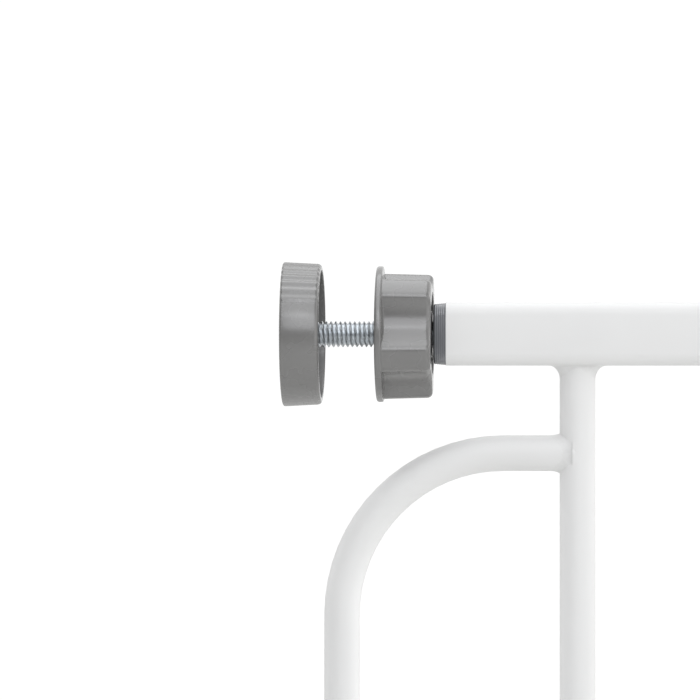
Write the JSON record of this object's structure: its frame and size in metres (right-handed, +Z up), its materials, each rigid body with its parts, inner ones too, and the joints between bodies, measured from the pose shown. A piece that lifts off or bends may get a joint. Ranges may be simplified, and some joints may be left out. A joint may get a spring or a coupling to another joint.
{
  "type": "safety baby gate",
  "caption": "Pressure-mounted safety gate: white tube frame, swinging barred door, side bars, and screw clamps with wall cups and lobed hand nuts.",
  "frame": {"origin": "on the floor, midway between the two walls and midway through the gate's depth", "axes": "+X along the gate to the viewer's right, +Y through the gate away from the viewer, +Z up"},
  "size_m": [0.78, 0.0436, 0.7808],
  "materials": {
    "powder_coat_white": "satin powder coat",
    "grey_plastic": "satin moulded plastic",
    "dark_grey_plastic": "satin moulded plastic",
    "zinc_steel": "bright zinc plate",
    "black_rubber": "matt rubber"
  },
  "bodies": {
    "frame": {"bottom_rail": "powder_coat_white", "upper_rail_left": "powder_coat_white", "upper_rail_right": "powder_coat_white", "hinge_post": "powder_coat_white", "latch_post": "powder_coat_white", "side_bar_left": "powder_coat_white", "side_bar_right": "powder_coat_white", "curved_bar_left": "powder_coat_white", "curved_bar_right": "powder_coat_white", "frame_welds": "powder_coat_white", "upper_hinge_bracket": "grey_plastic", "lower_hinge_bracket": "grey_plastic", "hinge_pins": "zinc_steel", "strike_housing": "grey_plastic", "bracket_screws": "zinc_steel", "door_stop_bracket": "grey_plastic", "door_stop_pin": "zinc_steel", "end_plug_upper_left": "dark_grey_plastic", "end_plug_upper_right": "dark_grey_plastic", "end_plug_lower_left": "dark_grey_plastic", "end_plug_lower_right": "dark_grey_plastic"},
    "door": {"door_top_rail": "powder_coat_white", "door_bottom_rail": "powder_coat_white", "door_hinge_stile": "powder_coat_white", "door_latch_stile": "powder_coat_white", "door_welds": "powder_coat_white", "door_bar_1": "powder_coat_white", "door_bar_2": "powder_coat_white", "door_bar_3": "powder_coat_white", "door_bar_4": "powder_coat_white", "door_bar_5": "powder_coat_white", "door_bar_6": "powder_coat_white", "stile_bushes": "dark_grey_plastic", "stile_end_cap": "dark_grey_plastic", "latch_housing_front": "grey_plastic", "latch_housing_rear": "grey_plastic", "housing_screws": "zinc_steel", "bolt_spring": "zinc_steel", "button_spring": "zinc_steel"},
    "latch_bolt": {"latch_bolt": "zinc_steel", "thumb_slider": "dark_grey_plastic"},
    "release_button": {"release_button": "dark_grey_plastic"},
    "door_stop_flap": {"door_stop_flap": "grey_plastic"},
    "hand_nut_upper_left": {"hand_nut_upper_left": "grey_plastic"},
    "spindle_upper_left": {"spindle_upper_left": "zinc_steel", "spindle_foot_upper_left": "black_rubber", "wall_cup_upper_left": "grey_plastic"},
    "hand_nut_upper_right": {"hand_nut_upper_right": "grey_plastic"},
    "spindle_upper_right": {"spindle_upper_right": "zinc_steel", "spindle_foot_upper_right": "black_rubber", "wall_cup_upper_right": "grey_plastic"},
    "hand_nut_lower_left": {"hand_nut_lower_left": "grey_plastic"},
    "spindle_lower_left": {"spindle_lower_left": "zinc_steel", "spindle_foot_lower_left": "black_rubber", "wall_cup_lower_left": "grey_plastic"},
    "hand_nut_lower_right": {"hand_nut_lower_right": "grey_plastic"},
    "spindle_lower_right": {"spindle_lower_right": "zinc_steel", "spindle_foot_lower_right": "black_rubber", "wall_cup_lower_right": "grey_plastic"}
  },
  "joints": [
    {"name": "door_swing", "type": "hinge", "parent": "frame", "child": "door", "pos_m": [-0.2165, 0, 0.38], "axis": [0, 0, 1], "range_deg": [-90, 90]},
    {"name": "latch_bolt_slide", "type": "slide", "parent": "door", "child": "latch_bolt", "axis": [1, 0, 0], "range_m": [0, 0.012], "deforming": ["bolt_spring"]},
    {"name": "release_button_press", "type": "slide", "parent": "door", "child": "release_button", "axis": [0, 0, -1], "range_m": [0, 0.003], "stiffness_N_per_m": 400, "deforming": ["button_spring"]},
    {"name": "door_stop_flip", "type": "hinge", "parent": "frame", "child": "door_stop_flap", "pos_m": [0.19, 0.0152, 0.02585], "axis": [1, 0, 0], "range_deg": [0, 180]},
    {"name": "nut_spin_upper_left", "type": "hinge", "parent": "frame", "child": "hand_nut_upper_left", "pos_m": [-0.3515, 0, 0.74], "axis": [1, 0, 0], "range_deg": [-2880, 6480]},
    {"name": "spindle_slide_upper_left", "type": "slide", "parent": "frame", "child": "spindle_upper_left", "axis": [-1, 0, 0], "range_m": [-0.01128, 0.0254]},
    {"name": "nut_spin_upper_right", "type": "hinge", "parent": "frame", "child": "hand_nut_upper_right", "pos_m": [0.3515, 0, 0.74], "axis": [-1, 0, 0], "range_deg": [-2880, 6480]},
    {"name": "spindle_slide_upper_right", "type": "slide", "parent": "frame", "child": "spindle_upper_right", "axis": [1, 0, 0], "range_m": [-0.01128, 0.0254]},
    {"name": "nut_spin_lower_left", "type": "hinge", "parent": "frame", "child": "hand_nut_lower_left", "pos_m": [-0.3515, 0, 0.02185], "axis": [1, 0, 0], "range_deg": [-2880, 6480]},
    {"name": "spindle_slide_lower_left", "type": "slide", "parent": "frame", "child": "spindle_lower_left", "axis": [-1, 0, 0], "range_m": [-0.01128, 0.0254]},
    {"name": "nut_spin_lower_right", "type": "hinge", "parent": "frame", "child": "hand_nut_lower_right", "pos_m": [0.3515, 0, 0.02185], "axis": [-1, 0, 0], "range_deg": [-2880, 6480]},
    {"name": "spindle_slide_lower_right", "type": "slide", "parent": "frame", "child": "spindle_lower_right", "axis": [1, 0, 0], "range_m": [-0.01128, 0.0254]}
  ],
  "couplings": [
    {"joint": "nut_spin_upper_left", "follows": "spindle_slide_upper_left", "rad_per_m": 4452.6},
    {"joint": "nut_spin_upper_right", "follows": "spindle_slide_upper_right", "rad_per_m": 4452.6},
    {"joint": "nut_spin_lower_left", "follows": "spindle_slide_lower_left", "rad_per_m": 4452.6},
    {"joint": "nut_spin_lower_right", "follows": "spindle_slide_lower_right", "rad_per_m": 4452.6}
  ]
}
